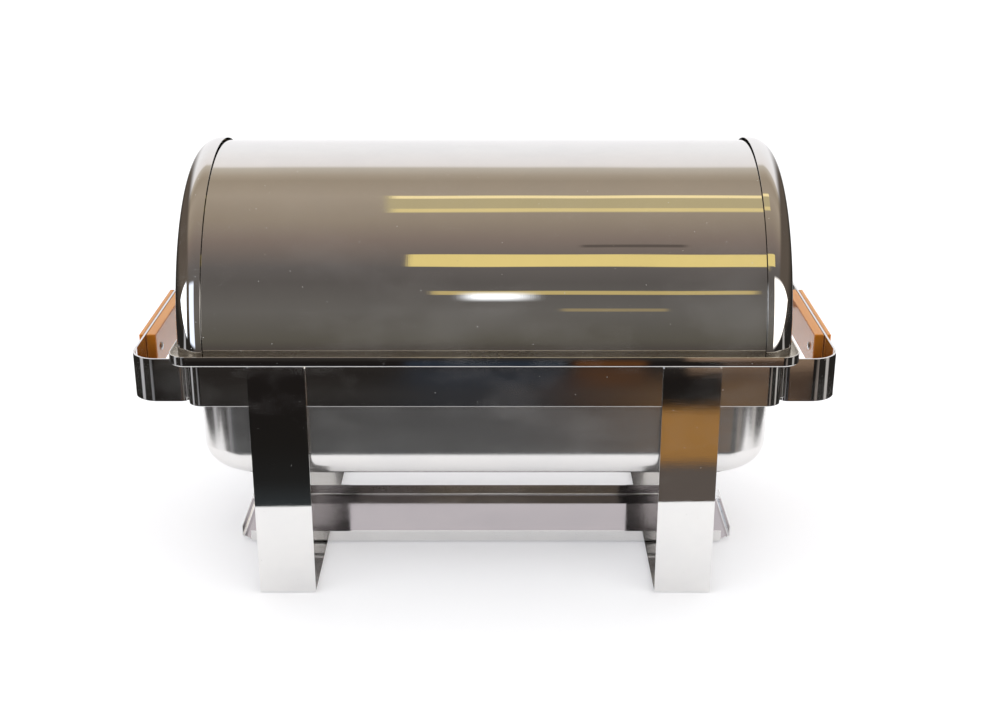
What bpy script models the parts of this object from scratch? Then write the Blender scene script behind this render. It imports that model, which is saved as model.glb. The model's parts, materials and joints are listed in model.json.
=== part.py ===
"""Roll-top chafing dish food warmer, in metres, +Z up.

X runs along the dish, -Y is the side with the fixed cover sheet, +Y is the serving side with the
rolling door, and the feet stand on Z = 0. Every sub-part is its own closed solid.
"""

import math

import bmesh
import bpy
from mathutils import Vector

# Driving dimensions
GAP = 0.0003  # between pieces that touch
ARC_STEP = math.radians(5)  # facets of the large arcs
BEND_STEP = math.radians(18)  # facets of small bends
TURNED_STEPS = 16  # sides of screws, rivets and pins

# Stand
STRAP = 0.002  # thickness of legs, band and side handles
LEG_INNER_X = 0.171
LEG_WIDTH = 0.056
STAND_DEPTH = 0.331
LEG_TOP = 0.244
FOOT_BEND = 0.003
BAND_HALF_X = 0.287
BAND_BOTTOM = 0.203
BAND_CORNER = 0.015

# Water pan with its gallery
GALLERY_UNDER = 0.2492
GALLERY_TOP = 0.2592
GALLERY_HALF_X = 0.300
GALLERY_HALF_Y = 0.178
GALLERY_CORNER = 0.018
GALLERY_BEND = 0.0015
PAN_WALL = 0.0012
PAN_HALF_X = 0.281
PAN_HALF_Y = 0.160
PAN_CORNER = 0.041
PAN_DRAFT = 0.001
PAN_BOTTOM = 0.119
PAN_BOTTOM_BEND = 0.035

# Cover frame and food pan
FRAME_PLATE = 0.0015
FOOD_RIM_HALF_X = 0.265
FOOD_RIM_HALF_Y = 0.1625
FOOD_RIM_CORNER = 0.056
FOOD_TOP_HALF_X = 0.252
FOOD_TOP_HALF_Y = 0.150
FOOD_TOP_CORNER = 0.044
FOOD_DEPTH = 0.065
FOOD_DRAFT = 0.007
FOOD_WALL = 0.001
FOOD_BEND = 0.018
FRAME_OPENING_MARGIN = 0.0035

# Cover
AXIS_Z = 0.258
COVER_RADIUS = 0.1701
COVER_HALF_X = 0.294
SHOULDER = 0.022
LIP_INNER_X = 0.267
SHEET = 0.0008
REAR_SHEET_RADIUS = COVER_RADIUS - 0.0030
REAR_SHEET_HALF_X = 0.272
REAR_SHEET_EDGE = math.radians(76)  # from the serving side, over the top
DOOR_RADIUS = COVER_RADIUS - 0.0047
DOOR_HALF_X = 0.274
DOOR_FROM = math.radians(-1)
DOOR_TO = math.radians(114)
DOOR_TRAVEL = math.radians(65)
QUADRANT = 0.0012
HUB_RADIUS = 0.0052

# Pivot and bumpers
PIN_RADIUS = 0.0025
PIN_HOLE_RADIUS = 0.0028
PIN_HEAD_RADIUS = 0.0046
PIN_HEAD = 0.0018
SPACER_RADIUS = 0.0048
BUMPER_INNER_X = 0.2545
BUMPER_OUTER_X = 0.2655
BUMPER_MARGIN = 0.001  # how far a bumper is wider than the sheet that lands on it

# Side handles
HANDLE_OUT_X = 0.345
HANDLE_HALF_Y = 0.1455
HANDLE_BOTTOM = 0.2015
HANDLE_TOP = 0.2455
HANDLE_BEND = 0.026
HANDLE_FOOT_BEND = 0.008
HANDLE_FLANGE = 0.040
HANDLE_RIVET_INSET = 0.024
GRIP_HALF_LENGTH = 0.075
GRIP_BOTTOM = 0.207
INNER_GRIP = 0.010
OUTER_GRIP = 0.0045
GRIP_EDGE = 0.0008
GRIP_SCREW_Y = 0.055

# Door handle
DOOR_HANDLE_ANGLE = math.radians(5)
DOOR_HANDLE_STRAP = 0.0015
DOOR_HANDLE_HALF_X = 0.095
DOOR_HANDLE_REACH = 0.038
DOOR_HANDLE_HALF_HEIGHT = 0.012
DOOR_HANDLE_FLANGE = 0.024
DOOR_RIVET_INSET = 0.0155
DOOR_HANDLE_BEND = 0.012
DOOR_HANDLE_FOOT_BEND = 0.005
DOOR_GRIP_HALF_LENGTH = 0.055
DOOR_INNER_GRIP = 0.008
DOOR_SCREW_X = 0.036

# Fasteners
SCREW_RADIUS = 0.002
SCREW_HOLE_RADIUS = 0.0023
SCREW_HEAD_RADIUS = 0.004
SCREW_HEAD = 0.0014
RIVET_HEAD = 0.001
HEAD_TOP = 0.7  # a head's flat top as a share of its radius
HEAD_RIM = 0.4  # a head's straight rim as a share of its height
OVERCUT = 0.001  # how far a drill runs past the metal
RIVET_INSET_Z = 0.0125

# Fuel tray
TRAY_HALF_X = 0.265
TRAY_HALF_Y = 0.058
TRAY_WALL = 0.0012
TRAY_FLANGE = 0.013
TRAY_CHAMFER = 0.012

SIDES = (("left", -1), ("right", 1))
ENDS = (("front", 1), ("rear", -1))

FINISHES = {  # colour, metallic, roughness
    "mirror_steel": ((0.80, 0.79, 0.77), 1.0, 0.06),
    "satin_steel": ((0.72, 0.71, 0.69), 1.0, 0.28),
    "amber": ((0.78, 0.34, 0.05), 0.0, 0.30),
    "rubber": ((0.02, 0.02, 0.02), 0.0, 0.60),
    "zinc": ((0.66, 0.66, 0.65), 1.0, 0.30),
}


def clear_scene():
    for obj in list(bpy.data.objects):
        bpy.data.objects.remove(obj, do_unlink=True)


def own_material(obj, finish):
    colour, metallic, roughness = FINISHES[finish]
    material = bpy.data.materials.new(obj.name + "_" + finish)
    material.use_nodes = True
    shader = material.node_tree.nodes["Principled BSDF"]
    shader.inputs["Base Color"].default_value = (*colour, 1)
    shader.inputs["Metallic"].default_value = metallic
    shader.inputs["Roughness"].default_value = roughness
    obj.data.materials.append(material)


def add_empty(name, parent=None, location=(0, 0, 0)):
    empty = bpy.data.objects.new(name, None)
    bpy.context.scene.collection.objects.link(empty)
    empty.parent = parent
    empty.location = location
    return empty


def add_solid(name, bm, finish, parent):
    """An object from the bmesh, its doubles merged and its faces turned outwards."""
    bmesh.ops.remove_doubles(bm, verts=bm.verts, dist=1e-7)
    bmesh.ops.recalc_face_normals(bm, faces=bm.faces)
    mesh = bpy.data.meshes.new(name)
    bm.to_mesh(mesh)
    bm.free()
    mesh.shade_smooth()
    mesh.set_sharp_from_angle(angle=math.radians(32))
    obj = bpy.data.objects.new(name, mesh)
    bpy.context.scene.collection.objects.link(obj)
    obj.parent = parent
    own_material(obj, finish)
    return obj


def add_helper(name, bm, parent):
    """A cutter or a piece to join, which the model itself leaves out."""
    helper = add_solid(name, bm, "zinc", parent)
    helper.hide_render = True
    helper.display_type = "WIRE"
    return helper


def combine(obj, helper, operation):
    modifier = obj.modifiers.new(operation.lower() + "_" + helper.name, "BOOLEAN")
    modifier.object = helper
    modifier.operation = operation
    modifier.solver = "EXACT"


def sweep(sections, closed=False, skip=None):
    """A bmesh skin over the sections, each a closed loop of points, with end caps unless closed.

    skip is the index of one edge of the loop that gets no faces.
    """
    bm = bmesh.new()
    rings = [[bm.verts.new(point) for point in section] for section in sections]
    count = len(rings[0])
    pairs = list(zip(rings, rings[1:]))
    if closed:
        pairs.append((rings[-1], rings[0]))
    for ring, following in pairs:
        for i in range(count):
            if i != skip:
                j = (i + 1) % count
                bm.faces.new((ring[i], ring[j], following[j], following[i]))
    if not closed:
        bm.faces.new(rings[0])
        bm.faces.new(rings[-1])
    return bm


def block(low, high):
    """A bmesh box between two corners."""
    corners = ((low[0], low[1]), (high[0], low[1]), (high[0], high[1]), (low[0], high[1]))
    return sweep([[Vector((x, y, z)) for x, y in corners] for z in (low[2], high[2])])


def prism_x(outline, low, high):
    """A bmesh prism along X of an outline of (y, z) points."""
    return sweep([[Vector((x, y, z)) for y, z in outline] for x in (low, high)])


def turned_ring(axis, place, radius):
    """A loop of points round an axis ("X" or "Y") through the origin."""
    ring = []
    for i in range(TURNED_STEPS):
        turn = 2 * math.pi * i / TURNED_STEPS
        a, b = radius * math.cos(turn), radius * math.sin(turn)
        ring.append(Vector((place, a, b)) if axis == "X" else Vector((a, place, b)))
    return ring


def turned(axis, stations):
    """A bmesh turned about the axis, from (place, radius) stations."""
    return sweep([turned_ring(axis, place, radius) for place, radius in stations])


def arc(centre, radius, start, end, step):
    """Points on an arc, both ends included."""
    count = max(1, math.ceil(abs(end - start) / step - 1e-6))
    turns = [start + (end - start) * i / count for i in range(count + 1)]
    return [(centre[0] + radius * math.cos(t), centre[1] + radius * math.sin(t)) for t in turns]


def rounded_path(points, radii):
    """The open polyline with an arc in place of each inner corner."""
    path = [points[0]]
    for before, corner, after, radius in zip(points, points[1:], points[2:], radii):
        here = Vector(corner)
        to_before = (Vector(before) - here).normalized()
        to_after = (Vector(after) - here).normalized()
        half = to_before.angle(to_after) / 2
        centre = here + (to_before + to_after).normalized() * radius / math.sin(half)
        start = here + to_before * radius / math.tan(half) - centre
        end = here + to_after * radius / math.tan(half) - centre
        first = math.atan2(start.y, start.x)
        turn = math.remainder(math.atan2(end.y, end.x) - first, 2 * math.pi)
        path += arc(centre, radius, first, first + turn, BEND_STEP)
    return path + [points[-1]]


def strap(path, thickness, low, high, place):
    """A bmesh strap whose middle line is the path. place turns (u, v, w) into a point."""
    line = [Vector(point) for point in path]
    sections = []
    for i, here in enumerate(line):
        ahead = (line[min(i + 1, len(line) - 1)] - here).normalized() if i + 1 < len(line) else None
        behind = (here - line[i - 1]).normalized() if i else None
        along = (ahead or behind) + (behind or ahead)
        along.normalize()
        across = Vector((-along.y, along.x))
        lean = across.dot(Vector((-(ahead or behind).y, (ahead or behind).x)))
        offset = across * thickness / 2 / lean
        a, b = here + offset, here - offset
        sections.append([place(*a, low), place(*b, low), place(*b, high), place(*a, high)])
    return sweep(sections)


def rounded_rectangle(half_x, half_y, radius, z, steps=5):
    """A horizontal loop of points with rounded corners."""
    loop = []
    for quarter in range(4):
        sx = 1 if quarter in (0, 3) else -1
        sy = 1 if quarter in (0, 1) else -1
        centre = (sx * (half_x - radius), sy * (half_y - radius))
        start = quarter * math.pi / 2
        corner = arc(centre, radius, start, start + math.pi / 2, math.pi / 2 / steps)
        loop += [Vector((x, y, z)) for x, y in corner]
    return loop


def ring_plate(outer, inner, low, high):
    """A bmesh flat ring. outer and inner are (half_x, half_y, corner)."""
    loops = [rounded_rectangle(*shape, z) for shape, z in
             ((outer, low), (outer, high), (inner, high), (inner, low))]
    return sweep(loops, closed=True)


def headed_pin(name, axis, stations, location, finish, parent):
    pin = add_solid(name, turned(axis, stations), finish, parent)
    pin.location = location
    return pin


def through_screw(low, high, head=SCREW_HEAD):
    """Stations of a screw or rivet that clamps what lies between low and high."""
    return (
        (low - GAP - head, SCREW_HEAD_RADIUS * HEAD_TOP),
        (low - GAP - head * HEAD_RIM, SCREW_HEAD_RADIUS),
        (low - GAP, SCREW_HEAD_RADIUS),
        (low - GAP, SCREW_RADIUS),
        (high + GAP, SCREW_RADIUS),
        (high + GAP, SCREW_HEAD_RADIUS),
        (high + GAP + head * HEAD_RIM, SCREW_HEAD_RADIUS),
        (high + GAP + head, SCREW_HEAD_RADIUS * HEAD_TOP),
    )


def drill(objects, name, axis, low, high, location, radius, parent):
    cutter = add_helper(name, turned(axis, ((low, radius), (high, radius))), parent)
    cutter.location = location
    for obj in objects:
        combine(obj, cutter, "DIFFERENCE")


def side_point(side):
    """Places (x, y, z) on the left (-1) or right (1) side."""
    return lambda x, y, z: Vector((side * x, y, z))


def make_band(parent):
    outer = (BAND_HALF_X, STAND_DEPTH / 2 - STRAP - GAP, BAND_CORNER)
    inner = tuple(size - STRAP for size in outer)
    bm = ring_plate(outer, inner, BAND_BOTTOM, GALLERY_UNDER - GAP)
    return add_solid("band_ring", bm, "mirror_steel", parent)


def make_leg_frame(side_name, side, parent):
    reach = STAND_DEPTH / 2 - STRAP / 2
    corners = [(-reach, LEG_TOP), (-reach, STRAP / 2), (reach, STRAP / 2), (reach, LEG_TOP)]
    path = rounded_path(corners, [FOOT_BEND] * 2)
    low, high = sorted((side * LEG_INNER_X, side * (LEG_INNER_X + LEG_WIDTH)))
    bm = strap(path, STRAP, low, high, lambda y, z, x: Vector((x, y, z)))
    add_solid("leg_frame_" + side_name, bm, "mirror_steel", parent)


def make_side_handle(side_name, side, band, parent):
    place = side_point(side)
    foot_x = BAND_HALF_X + GAP + STRAP / 2
    out_x = HANDLE_OUT_X - STRAP / 2
    run_y = HANDLE_HALF_Y - STRAP / 2
    flange_y = HANDLE_HALF_Y - HANDLE_FLANGE
    corners = [(foot_x, -flange_y), (foot_x, -run_y), (out_x, -run_y),
               (out_x, run_y), (foot_x, run_y), (foot_x, flange_y)]
    bends = [HANDLE_FOOT_BEND, HANDLE_BEND, HANDLE_BEND, HANDLE_FOOT_BEND]
    bm = strap(rounded_path(corners, bends), STRAP, HANDLE_BOTTOM, HANDLE_TOP, place)
    handle = add_solid("handle_strap_" + side_name, bm, "mirror_steel", parent)
    grips = make_side_grips(side_name, side, parent)
    for end_name, end in ENDS:
        make_grip_screw(side_name, side, end_name, end, [handle, *grips], parent)
        make_flange_rivets(side_name, side, end_name, end, [handle, band], parent)


def make_side_grips(side_name, side, parent):
    inner_face = HANDLE_OUT_X - STRAP - GAP
    outer_face = HANDLE_OUT_X + GAP
    spans = (("inner", inner_face - INNER_GRIP, inner_face),
             ("outer", outer_face, outer_face + OUTER_GRIP))
    grips = []
    for name, near, far in spans:
        low, high = sorted((side * near, side * far))
        bm = block((low, -GRIP_HALF_LENGTH, GRIP_BOTTOM), (high, GRIP_HALF_LENGTH, HANDLE_TOP))
        grip = add_solid("grip_" + name + "_" + side_name, bm, "amber", parent)
        bevel_edges(grip)
        grips.append(grip)
    return grips


def bevel_edges(grip):
    bevel = grip.modifiers.new("edge", "BEVEL")
    bevel.width = GRIP_EDGE
    bevel.segments = 1


def make_grip_screw(side_name, side, end_name, end, clamped, parent):
    low = HANDLE_OUT_X - STRAP - GAP - INNER_GRIP
    high = HANDLE_OUT_X + GAP + OUTER_GRIP
    centre = (0, -end * GRIP_SCREW_Y, (GRIP_BOTTOM + HANDLE_TOP) / 2)
    name = "grip_screw_" + side_name + "_" + end_name
    stations = [(side * x, radius) for x, radius in through_screw(low, high)]
    headed_pin(name, "X", stations, centre, "zinc", parent)
    drill(clamped, name + "_hole", "X", side * (low - OVERCUT), side * (high + OVERCUT), centre,
          SCREW_HOLE_RADIUS, parent)


def make_flange_rivets(side_name, side, end_name, end, clamped, parent):
    """Two rivets through one handle flange and the band's end."""
    low = BAND_HALF_X - STRAP
    high = BAND_HALF_X + GAP + STRAP
    y = -end * (HANDLE_HALF_Y - HANDLE_RIVET_INSET)
    heights = (("upper", HANDLE_TOP - RIVET_INSET_Z), ("lower", HANDLE_BOTTOM + RIVET_INSET_Z))
    for level, z in heights:
        name = "handle_rivet_" + side_name + "_" + end_name + "_" + level
        stations = [(side * x, radius) for x, radius in through_screw(low, high, RIVET_HEAD)]
        headed_pin(name, "X", stations, (0, y, z), "zinc", parent)
        drill(clamped, name + "_hole", "X", side * (low - OVERCUT), side * (high + OVERCUT),
              (0, y, z), SCREW_HOLE_RADIUS, parent)


def make_water_pan(parent):
    """Lip, ledge, walls and bottom of one drawn sheet, as loops from inside bottom to outside."""
    outer, inner = [], []
    for inset, skin in ((0, outer), (PAN_WALL, inner)):
        bend = PAN_BOTTOM_BEND - inset
        low_x, low_y = PAN_HALF_X - PAN_DRAFT - inset, PAN_HALF_Y - PAN_DRAFT - inset
        centre_z = PAN_BOTTOM + PAN_BOTTOM_BEND
        for across, down in arc((-bend, 0), bend, -math.pi / 2, 0, BEND_STEP):
            shape = (low_x + across, low_y + across, PAN_CORNER - inset + across * 0.2)
            skin.append(rounded_rectangle(*shape, centre_z + down))
        shape = (PAN_HALF_X - inset, PAN_HALF_Y - inset, PAN_CORNER - inset)
        skin.append(rounded_rectangle(*shape, GALLERY_UNDER + inset))
    lip_in = [size - PAN_WALL for size in (GALLERY_HALF_X, GALLERY_HALF_Y, GALLERY_CORNER)]
    lip_out = (GALLERY_HALF_X, GALLERY_HALF_Y, GALLERY_CORNER)
    turn_in = [size - GALLERY_BEND for size in lip_out]
    inner.append(rounded_rectangle(*lip_in, GALLERY_UNDER + PAN_WALL))
    inner.append(rounded_rectangle(*lip_in, GALLERY_TOP))
    outer.append(rounded_rectangle(*turn_in, GALLERY_UNDER))
    outer.append(rounded_rectangle(*lip_out, GALLERY_UNDER + GALLERY_BEND))
    outer.append(rounded_rectangle(*lip_out, GALLERY_TOP))
    bm = sweep(inner + outer[::-1])
    add_solid("water_pan", bm, "satin_steel", parent)


def frame_top():
    return GALLERY_UNDER + PAN_WALL + GAP + FRAME_PLATE


def make_food_pan(parent):
    """Full-size pan whose rim hangs on the cover frame."""
    rim_low = frame_top() + GAP
    outer, inner = [], []
    for inset, skin in ((0, outer), (FOOD_WALL, inner)):
        bend = FOOD_BEND - inset
        low_x, low_y = FOOD_TOP_HALF_X - FOOD_DRAFT - inset, FOOD_TOP_HALF_Y - FOOD_DRAFT - inset
        centre_z = rim_low + FOOD_WALL - FOOD_DEPTH + FOOD_BEND
        for across, down in arc((-bend, 0), bend, -math.pi / 2, 0, math.radians(30)):
            corner = FOOD_TOP_CORNER - inset + across * 0.3
            skin.append(rounded_rectangle(low_x + across, low_y + across, corner, centre_z + down))
        shape = (FOOD_TOP_HALF_X - inset, FOOD_TOP_HALF_Y - inset, FOOD_TOP_CORNER - inset)
        skin.append(rounded_rectangle(*shape, rim_low + inset))
    rim = (FOOD_RIM_HALF_X, FOOD_RIM_HALF_Y, FOOD_RIM_CORNER)
    inner.append(rounded_rectangle(*rim, rim_low + FOOD_WALL))
    outer.append(rounded_rectangle(*rim, rim_low))
    add_solid("food_pan", sweep(inner + outer[::-1]), "satin_steel", parent)


def make_cover_frame(parent):
    low = GALLERY_UNDER + PAN_WALL + GAP
    opening = [size + FRAME_OPENING_MARGIN for size in
               (FOOD_TOP_HALF_X, FOOD_TOP_HALF_Y, FOOD_TOP_CORNER)]
    bm = ring_plate((COVER_HALF_X, COVER_RADIUS, SHOULDER), opening, low, low + FRAME_PLATE)
    add_solid("cover_frame", bm, "satin_steel", parent)


def skirt():
    """How far the cover's walls run straight down below the pivot."""
    return AXIS_Z - frame_top() - GAP


def make_end_housing(side_name, side, parent):
    """A half drum: rounded shoulder and end panel turned about the pivot, then a short skirt."""
    shoulder_x = COVER_HALF_X - SHOULDER
    hollow_r = COVER_RADIUS - SHOULDER
    outer = [(LIP_INNER_X, COVER_RADIUS)]
    outer += arc((shoulder_x, hollow_r), SHOULDER, math.pi / 2, 0, math.radians(15))
    outer.append((COVER_HALF_X, 0))
    inner = [(COVER_HALF_X - SHEET, 0)]
    inner += arc((shoulder_x, hollow_r), SHOULDER - SHEET, 0, math.pi / 2, math.radians(15))
    inner.append((LIP_INNER_X, COVER_RADIUS - SHEET))
    profile = outer + inner
    turns = [math.pi * i / 36 for i in range(37)]
    sections = [[Vector((side * x, r * math.cos(t), r * math.sin(t))) for x, r in profile]
                for t in turns]
    drop = Vector((0, 0, -skirt()))
    sections.insert(0, [point + drop for point in sections[0]])
    sections.append([point + drop for point in sections[-1]])
    bm = sweep(sections, skip=len(outer) - 1)
    housing = add_solid("end_housing_" + side_name, bm, "mirror_steel", parent)
    drill([housing], "pivot_hole_" + side_name, "X", side * (COVER_HALF_X - SHEET - OVERCUT),
          side * (COVER_HALF_X + OVERCUT), (0, 0, 0), PIN_HOLE_RADIUS, parent)


def along_x(v, w, u):
    """For a strap bent in the YZ plane and as wide as X allows."""
    return Vector((u, v, w))


def make_rear_sheet(parent):
    middle = REAR_SHEET_RADIUS - SHEET / 2
    path = arc((0, 0), middle, REAR_SHEET_EDGE, math.pi, ARC_STEP) + [(-middle, -skirt())]
    bm = strap(path, SHEET, -REAR_SHEET_HALF_X, REAR_SHEET_HALF_X, along_x)
    add_solid("rear_sheet", bm, "mirror_steel", parent)


def make_door_sheet(parent):
    path = arc((0, 0), DOOR_RADIUS - SHEET / 2, DOOR_FROM, DOOR_TO, ARC_STEP)
    bm = strap(path, SHEET, -DOOR_HALF_X, DOOR_HALF_X, along_x)
    add_solid("door_sheet", bm, "mirror_steel", parent)


def make_door_quadrant(side_name, side, parent):
    """A flat plate from the door sheet's end down to the pivot."""
    lean = math.asin(HUB_RADIUS / DOOR_RADIUS)
    outline = arc((0, 0), DOOR_RADIUS, -lean, DOOR_TO + lean, ARC_STEP)
    outline += arc((0, 0), HUB_RADIUS, DOOR_TO + math.pi / 2, math.pi * 1.5, math.radians(30))
    near = DOOR_HALF_X + GAP
    low, high = sorted((side * near, side * (near + QUADRANT)))
    bm = prism_x(outline, low, high)
    quadrant = add_solid("door_quadrant_" + side_name, bm, "satin_steel", parent)
    drill([quadrant], "quadrant_hole_" + side_name, "X", low - OVERCUT, high + OVERCUT,
          (0, 0, 0), PIN_HOLE_RADIUS, parent)


def make_pivot(side_name, side, parent):
    plate_low = DOOR_HALF_X + GAP
    plate_high = plate_low + QUADRANT
    panel_low = COVER_HALF_X - SHEET
    stations = (
        (plate_low - GAP - PIN_HEAD, PIN_HEAD_RADIUS),
        (plate_low - GAP, PIN_HEAD_RADIUS),
        (plate_low - GAP, PIN_RADIUS),
        (COVER_HALF_X + GAP, PIN_RADIUS),
        (COVER_HALF_X + GAP, PIN_HEAD_RADIUS),
        (COVER_HALF_X + GAP + PIN_HEAD * HEAD_RIM, PIN_HEAD_RADIUS),
        (COVER_HALF_X + GAP + PIN_HEAD, PIN_HEAD_RADIUS * HEAD_TOP),
    )
    stations = [(side * x, radius) for x, radius in stations]
    headed_pin("pivot_pin_" + side_name, "X", stations, (0, 0, 0), "zinc", parent)
    low, high = plate_high + GAP, panel_low - GAP
    tube = ((low, SPACER_RADIUS), (high, SPACER_RADIUS),
            (high, PIN_HOLE_RADIUS), (low, PIN_HOLE_RADIUS))
    rings = [turned_ring("X", side * x, radius) for x, radius in tube]
    add_solid("pivot_spacer_" + side_name, sweep(rings, closed=True), "zinc", parent)


def make_bumpers(side_name, side, parent):
    """Rubber blocks on the cover frame, under the door sheet's edges when it is shut and when open."""
    low, high = sorted((side * BUMPER_INNER_X, side * BUMPER_OUTER_X))
    inner_y, outer_y = DOOR_RADIUS - SHEET - BUMPER_MARGIN, DOOR_RADIUS + GAP
    floor = -skirt()
    for name, edge, way in (("shut", DOOR_FROM, 1), ("open", DOOR_TO + DOOR_TRAVEL, -1)):
        lowest = min(DOOR_RADIUS * math.sin(edge), (DOOR_RADIUS - SHEET) * math.sin(edge))
        near, far = sorted((way * inner_y, way * outer_y))
        bm = block((low, near, floor), (high, far, lowest - GAP))
        add_solid("bumper_" + name + "_" + side_name, bm, "rubber", parent)


def make_door_handle(sheet, parent):
    """A bent strap with two grip plates, low on the door, built flat and then tilted."""
    base = add_empty("door_handle_base", parent)
    base.rotation_euler = (DOOR_HANDLE_ANGLE, 0, 0)
    flange_y = DOOR_RADIUS + GAP + DOOR_HANDLE_STRAP / 2
    out_y = DOOR_RADIUS + DOOR_HANDLE_REACH - DOOR_HANDLE_STRAP / 2
    run_x = DOOR_HANDLE_HALF_X - DOOR_HANDLE_STRAP / 2
    flange_x = DOOR_HANDLE_HALF_X - DOOR_HANDLE_FLANGE
    corners = [(-flange_x, flange_y), (-run_x, flange_y), (-run_x, out_y),
               (run_x, out_y), (run_x, flange_y), (flange_x, flange_y)]
    bends = [DOOR_HANDLE_FOOT_BEND, DOOR_HANDLE_BEND, DOOR_HANDLE_BEND, DOOR_HANDLE_FOOT_BEND]
    half = DOOR_HANDLE_HALF_HEIGHT
    bm = strap(rounded_path(corners, bends), DOOR_HANDLE_STRAP, -half, half, side_point(1))
    handle = add_solid("door_handle_strap", bm, "mirror_steel", base)
    outer_low = DOOR_RADIUS + DOOR_HANDLE_REACH + GAP
    inner_high = DOOR_RADIUS + DOOR_HANDLE_REACH - DOOR_HANDLE_STRAP - GAP
    spans = (("inner", inner_high - DOOR_INNER_GRIP, inner_high),
             ("outer", outer_low, outer_low + OUTER_GRIP))
    clamped = [handle]
    for name, low, high in spans:
        bm = block((-DOOR_GRIP_HALF_LENGTH, low, -half), (DOOR_GRIP_HALF_LENGTH, high, half))
        grip = add_solid("door_grip_" + name, bm, "amber", base)
        bevel_edges(grip)
        clamped.append(grip)
    screw_low, screw_high = spans[0][1], spans[1][2]
    for side_name, side in SIDES:
        name = "door_grip_screw_" + side_name
        place = (side * DOOR_SCREW_X, 0, 0)
        headed_pin(name, "Y", through_screw(screw_low, screw_high), place, "zinc", base)
        drill(clamped, name + "_hole", "Y", screw_low - OVERCUT, screw_high + OVERCUT, place,
              SCREW_HOLE_RADIUS, base)
        name = "door_rivet_" + side_name
        place = (side * (DOOR_HANDLE_HALF_X - DOOR_RIVET_INSET), 0, 0)
        low, high = DOOR_RADIUS - SHEET, DOOR_RADIUS + GAP + DOOR_HANDLE_STRAP
        headed_pin(name, "Y", through_screw(low, high, RIVET_HEAD), place, "zinc", base)
        drill([handle, sheet], name + "_hole", "Y", low - OVERCUT, high + OVERCUT, place,
              SCREW_HOLE_RADIUS, base)


def make_fuel_tray(parent):
    """A flat floor with cut corners and four upturned flanges."""
    low = STRAP + GAP
    x, y, cut = TRAY_HALF_X, TRAY_HALF_Y, TRAY_CHAMFER
    outline = [(x, y - cut), (x - cut, y), (cut - x, y), (-x, y - cut),
               (-x, cut - y), (cut - x, -y), (x - cut, -y), (x, cut - y)]
    floor = [[Vector((px, py, z)) for px, py in outline] for z in (low, low + TRAY_WALL)]
    tray = add_solid("fuel_tray", sweep(floor), "mirror_steel", parent)
    flanges = (
        ("front", (cut - x, -y, low), (x - cut, TRAY_WALL - y, low + TRAY_FLANGE)),
        ("rear", (cut - x, y - TRAY_WALL, low), (x - cut, y, low + TRAY_FLANGE)),
        ("left", (-x, cut - y, low), (TRAY_WALL - x, y - cut, low + TRAY_FLANGE)),
        ("right", (x - TRAY_WALL, cut - y, low), (x, y - cut, low + TRAY_FLANGE)),
    )
    for name, near, far in flanges:
        combine(tray, add_helper("tray_flange_" + name, block(near, far), parent), "UNION")


def centre_on_origin(root):
    """Moves the whole model so that its footprint's middle is at the origin."""
    bpy.context.view_layer.update()
    graph = bpy.context.evaluated_depsgraph_get()
    reach = []
    for obj in bpy.data.objects:
        if obj.type == "MESH" and not obj.hide_render:
            shape = obj.evaluated_get(graph)
            reach += [(shape.matrix_world @ vertex.co).y for vertex in shape.data.vertices]
    root.location.y = -(min(reach) + max(reach)) / 2


def main():
    clear_scene()
    root = add_empty("chafing_dish")
    pivot = add_empty("cover_pivot", root, (0, 0, AXIS_Z))
    door_pivot = add_empty("door_pivot", root, (0, 0, AXIS_Z))
    band = make_band(root)
    make_water_pan(root)
    make_food_pan(root)
    make_cover_frame(root)
    make_rear_sheet(pivot)
    make_door_sheet(door_pivot)
    make_door_handle(bpy.data.objects["door_sheet"], door_pivot)
    make_fuel_tray(root)
    for side_name, side in SIDES:
        make_leg_frame(side_name, side, root)
        make_side_handle(side_name, side, band, root)
        make_end_housing(side_name, side, pivot)
        make_door_quadrant(side_name, side, door_pivot)
        make_pivot(side_name, side, pivot)
        make_bumpers(side_name, side, pivot)
    centre_on_origin(root)


main()
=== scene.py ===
"""Looks of the roll-top chafing dish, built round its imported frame, in metres, +Z up."""

import json
import math

import bmesh
import bpy
from mathutils import Matrix, Vector, noise


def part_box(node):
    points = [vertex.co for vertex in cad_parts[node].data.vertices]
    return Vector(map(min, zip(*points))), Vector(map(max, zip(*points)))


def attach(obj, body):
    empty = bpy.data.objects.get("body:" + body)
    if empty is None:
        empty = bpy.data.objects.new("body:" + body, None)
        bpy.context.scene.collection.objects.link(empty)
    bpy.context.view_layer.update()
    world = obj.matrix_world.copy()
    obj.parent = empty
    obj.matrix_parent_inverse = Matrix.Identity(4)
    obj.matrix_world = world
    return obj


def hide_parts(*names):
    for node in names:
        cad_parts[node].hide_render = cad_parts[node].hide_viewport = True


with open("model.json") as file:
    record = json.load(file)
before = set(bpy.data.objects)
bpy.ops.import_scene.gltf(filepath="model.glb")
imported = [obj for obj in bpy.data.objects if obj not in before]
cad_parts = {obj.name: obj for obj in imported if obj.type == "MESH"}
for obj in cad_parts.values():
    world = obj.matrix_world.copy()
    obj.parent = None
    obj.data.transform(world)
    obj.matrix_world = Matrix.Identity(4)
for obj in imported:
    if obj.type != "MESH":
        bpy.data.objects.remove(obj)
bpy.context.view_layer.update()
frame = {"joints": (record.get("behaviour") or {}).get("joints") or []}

SIDES = (("left", -1), ("right", 1))
ENDS = (("front", 1), ("rear", -1))


def half_size(node):
    low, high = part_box(node)
    return (high - low) / 2


def middle(node):
    low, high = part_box(node)
    return (high + low) / 2


def far_x(node):
    """The larger of the two distances of a node from the middle plane."""
    low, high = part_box(node)
    return max(abs(low.x), abs(high.x))


def near_x(node):
    low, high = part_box(node)
    return min(abs(low.x), abs(high.x))


# Gap that touching pieces keep in the frame
GAP = 0.0003

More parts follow.
